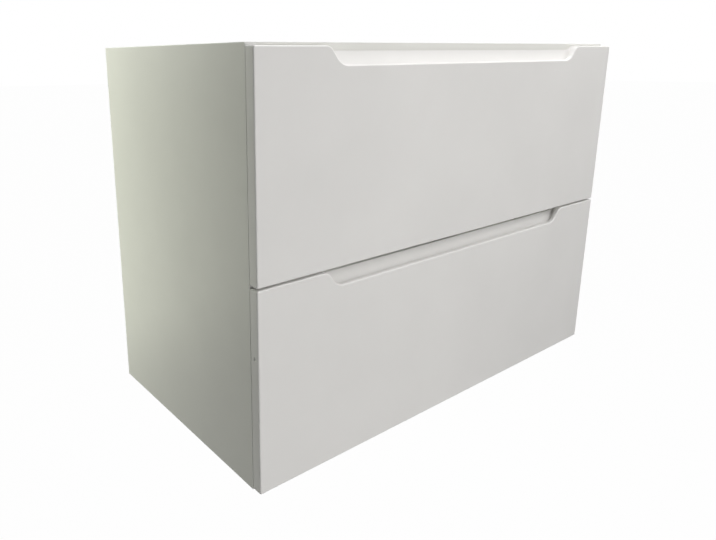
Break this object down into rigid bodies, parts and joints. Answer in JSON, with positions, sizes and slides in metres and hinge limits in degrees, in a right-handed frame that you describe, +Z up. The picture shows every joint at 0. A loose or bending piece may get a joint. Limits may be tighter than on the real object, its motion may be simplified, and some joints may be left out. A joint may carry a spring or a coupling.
{
  "type": "floating vanity",
  "caption": "Wall-hung bathroom vanity cabinet with two full-width drawers on concealed slides and finger pulls milled into the fronts.",
  "frame": {"origin": "middle of the footprint at the underside of the carcass", "axes": "+X to the viewer's right facing the fronts, +Y from the fronts to the wall, +Z up"},
  "size_m": [0.8, 0.415, 0.58],
  "materials": {
    "front_lacquer": "satin white lacquer on MDF",
    "carcass_board": "white melamine faced board",
    "drawer_board": "white melamine faced board",
    "zinc_steel": "bright zinc plated",
    "slide_steel": "galvanised sheet",
    "zinc_casting": "die-cast, nickel plated",
    "yellow_zinc": "yellow passivated zinc",
    "beech": "bare beech",
    "clear_rubber": "clear polyurethane",
    "nylon": "natural nylon",
    "grey_plastic": "moulded, fine grain",
    "dark_plastic": "moulded, fine grain",
    "white_plastic": "moulded, satin"
  },
  "bodies": {
    "cabinet": {"side_panel_left": "carcass_board", "side_panel_right": "carcass_board", "bottom_panel": "carcass_board", "top_front_rail": "carcass_board", "top_rear_rail": "carcass_board", "bottom_rear_rail": "carcass_board", "cam_bolts": "zinc_steel", "cam_locks": "zinc_casting", "wood_dowels": "beech", "corner_brackets": "zinc_steel", "upper_base_left": "slide_steel", "upper_base_right": "slide_steel", "lower_base_left": "slide_steel", "lower_base_right": "slide_steel", "cabinet_screws": "zinc_steel", "hanger_case_left": "zinc_steel", "hanger_case_right": "zinc_steel", "adjusting_screws": "yellow_zinc"},
    "hanger_left": {"hanger_hook_left": "zinc_steel", "wall_plate_left": "zinc_steel"},
    "hanger_right": {"hanger_hook_right": "zinc_steel", "wall_plate_right": "zinc_steel"},
    "upper_drawer": {"upper_front": "front_lacquer", "upper_inner_front": "drawer_board", "upper_side_left": "drawer_board", "upper_side_right": "drawer_board", "upper_back_left": "drawer_board", "upper_back_right": "drawer_board", "upper_bottom": "drawer_board", "siphon_guard": "white_plastic", "upper_runner_left": "slide_steel", "upper_runner_right": "slide_steel", "upper_clip_left": "grey_plastic", "upper_clip_right": "grey_plastic", "upper_drawer_screws": "zinc_steel", "upper_bumpers": "clear_rubber"},
    "lower_drawer": {"lower_front": "front_lacquer", "lower_inner_front": "drawer_board", "lower_side_left": "drawer_board", "lower_side_right": "drawer_board", "lower_back": "drawer_board", "lower_bottom": "drawer_board", "lower_runner_left": "slide_steel", "lower_runner_right": "slide_steel", "lower_clip_left": "grey_plastic", "lower_clip_right": "grey_plastic", "lower_drawer_screws": "zinc_steel", "lower_bumpers": "clear_rubber"},
    "upper_middle_left": {"upper_middle_left": "slide_steel"},
    "upper_middle_right": {"upper_middle_right": "slide_steel"},
    "upper_base_rollers": {"upper_base_rollers": "nylon"},
    "upper_runner_rollers": {"upper_runner_rollers": "nylon"},
    "upper_lever_left": {"upper_lever_left": "dark_plastic"},
    "upper_lever_right": {"upper_lever_right": "dark_plastic"},
    "lower_middle_left": {"lower_middle_left": "slide_steel"},
    "lower_middle_right": {"lower_middle_right": "slide_steel"},
    "lower_base_rollers": {"lower_base_rollers": "nylon"},
    "lower_runner_rollers": {"lower_runner_rollers": "nylon"},
    "lower_lever_left": {"lower_lever_left": "dark_plastic"},
    "lower_lever_right": {"lower_lever_right": "dark_plastic"}
  },
  "joints": [
    {"name": "hanger_left_height", "type": "slide", "parent": "cabinet", "child": "hanger_left", "axis": [0, 0, 1], "range_m": [-0.007, 0.007]},
    {"name": "hanger_right_height", "type": "slide", "parent": "cabinet", "child": "hanger_right", "axis": [0, 0, 1], "range_m": [-0.007, 0.007]},
    {"name": "upper_drawer_slide", "type": "slide", "parent": "cabinet", "child": "upper_drawer", "axis": [0, -1, 0], "range_m": [0, 0.34]},
    {"name": "upper_middle_left_slide", "type": "slide", "parent": "cabinet", "child": "upper_middle_left", "axis": [0, -1, 0], "range_m": [0, 0.17]},
    {"name": "upper_middle_right_slide", "type": "slide", "parent": "cabinet", "child": "upper_middle_right", "axis": [0, -1, 0], "range_m": [0, 0.17]},
    {"name": "upper_base_rollers_slide", "type": "slide", "parent": "cabinet", "child": "upper_base_rollers", "axis": [0, -1, 0], "range_m": [0, 0.085]},
    {"name": "upper_runner_rollers_slide", "type": "slide", "parent": "cabinet", "child": "upper_runner_rollers", "axis": [0, -1, 0], "range_m": [0, 0.255]},
    {"name": "upper_lever_left_pivot", "type": "hinge", "parent": "upper_drawer", "child": "upper_lever_left", "pos_m": [-0.318, -0.1485, 0.3235], "axis": [0, 0, 1], "range_deg": [0, 12], "stiffness_Nm_per_rad": 0.05},
    {"name": "upper_lever_right_pivot", "type": "hinge", "parent": "upper_drawer", "child": "upper_lever_right", "pos_m": [0.318, -0.1485, 0.3235], "axis": [0, 0, -1], "range_deg": [0, 12], "stiffness_Nm_per_rad": 0.05},
    {"name": "lower_drawer_slide", "type": "slide", "parent": "cabinet", "child": "lower_drawer", "axis": [0, -1, 0], "range_m": [0, 0.34]},
    {"name": "lower_middle_left_slide", "type": "slide", "parent": "cabinet", "child": "lower_middle_left", "axis": [0, -1, 0], "range_m": [0, 0.17]},
    {"name": "lower_middle_right_slide", "type": "slide", "parent": "cabinet", "child": "lower_middle_right", "axis": [0, -1, 0], "range_m": [0, 0.17]},
    {"name": "lower_base_rollers_slide", "type": "slide", "parent": "cabinet", "child": "lower_base_rollers", "axis": [0, -1, 0], "range_m": [0, 0.085]},
    {"name": "lower_runner_rollers_slide", "type": "slide", "parent": "cabinet", "child": "lower_runner_rollers", "axis": [0, -1, 0], "range_m": [0, 0.255]},
    {"name": "lower_lever_left_pivot", "type": "hinge", "parent": "lower_drawer", "child": "lower_lever_left", "pos_m": [-0.318, -0.1485, 0.0375], "axis": [0, 0, 1], "range_deg": [0, 12], "stiffness_Nm_per_rad": 0.05},
    {"name": "lower_lever_right_pivot", "type": "hinge", "parent": "lower_drawer", "child": "lower_lever_right", "pos_m": [0.318, -0.1485, 0.0375], "axis": [0, 0, -1], "range_deg": [0, 12], "stiffness_Nm_per_rad": 0.05}
  ],
  "couplings": [
    {"joint": "upper_middle_left_slide", "follows": "upper_drawer_slide", "ratio": 0.5},
    {"joint": "upper_middle_right_slide", "follows": "upper_drawer_slide", "ratio": 0.5},
    {"joint": "upper_base_rollers_slide", "follows": "upper_drawer_slide", "ratio": 0.25},
    {"joint": "upper_runner_rollers_slide", "follows": "upper_drawer_slide", "ratio": 0.75},
    {"joint": "lower_middle_left_slide", "follows": "lower_drawer_slide", "ratio": 0.5},
    {"joint": "lower_middle_right_slide", "follows": "lower_drawer_slide", "ratio": 0.5},
    {"joint": "lower_base_rollers_slide", "follows": "lower_drawer_slide", "ratio": 0.25},
    {"joint": "lower_runner_rollers_slide", "follows": "lower_drawer_slide", "ratio": 0.75}
  ]
}
